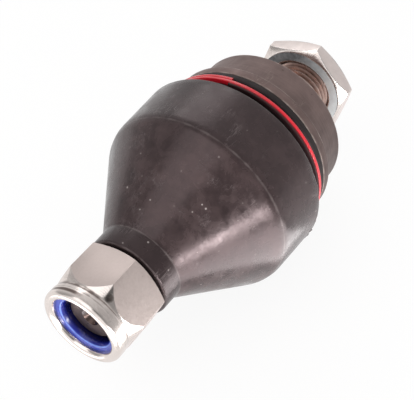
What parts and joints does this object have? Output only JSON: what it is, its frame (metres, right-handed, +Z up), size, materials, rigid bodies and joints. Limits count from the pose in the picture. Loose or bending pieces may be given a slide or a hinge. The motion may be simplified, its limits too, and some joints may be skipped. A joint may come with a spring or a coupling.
{
  "type": "suspension ball joint",
  "caption": "Suspension ball joint: booted ball stud with a lock nut, in a round forged housing that ends in a threaded shank with a thin jam nut.",
  "frame": {"origin": "centre of the housing's mounting shoulder, on the joint's axis, where the threaded shank leaves the housing", "axes": "+X along the shank, away from the housing; the ball stud and its lock nut point along -X; +Z up as the joint lies on its side"},
  "size_m": [0.0969, 0.0492, 0.0492],
  "materials": {
    "housing_steel": "dark phosphate",
    "stud_steel": "machined",
    "spring_steel": "oiled",
    "zinc_plate": "zinc plated",
    "boot_rubber": "satin",
    "ring_coat": "gloss",
    "seat_plastic": "moulded",
    "bush_plastic": "moulded",
    "nylon_blue": "gloss"
  },
  "bodies": {
    "housing": {"housing": "housing_steel", "disc_spring": "spring_steel", "pressure_plate": "spring_steel", "lower_seat": "seat_plastic", "upper_seat": "seat_plastic", "closing_ring": "spring_steel", "circlip": "spring_steel"},
    "boot": {"dust_boot": "boot_rubber", "boot_ring": "ring_coat"},
    "boot_neck": {"lip_bush": "bush_plastic"},
    "stud": {"ball_stud": "stud_steel"},
    "nut_insert": {"lock_nut_insert": "nylon_blue"},
    "lock_nut": {"lock_nut": "zinc_plate"},
    "jam_nut": {"jam_nut": "zinc_plate"}
  },
  "joints": [
    {"name": "boot_turn", "type": "hinge", "parent": "housing", "child": "boot", "pos_m": [0, 0, 0], "axis": [1, 0, 0], "continuous": true},
    {"name": "stud_swing", "type": "hinge", "parent": "boot", "child": "boot_neck", "pos_m": [-0.0225, 0, 0], "axis": [0, 0, 1], "range_deg": [-25, 25], "deforming": ["dust_boot"]},
    {"name": "stud_spin", "type": "hinge", "parent": "boot_neck", "child": "stud", "pos_m": [-0.0225, 0, 0], "axis": [1, 0, 0], "continuous": true},
    {"name": "lock_nut_travel", "type": "slide", "parent": "stud", "child": "nut_insert", "axis": [-1, 0, 0], "range_m": [0, 0.0105]},
    {"name": "lock_nut_turn", "type": "hinge", "parent": "nut_insert", "child": "lock_nut", "pos_m": [0, 0, 0], "axis": [-1, 0, 0], "range_deg": [0, 2520]},
    {"name": "jam_nut_travel", "type": "slide", "parent": "housing", "child": "jam_nut", "axis": [1, 0, 0], "range_m": [-0.0155, 0.016]}
  ],
  "couplings": [
    {"joint": "lock_nut_travel", "follows": "lock_nut_turn", "m_per_rad": 0.00023873}
  ]
}
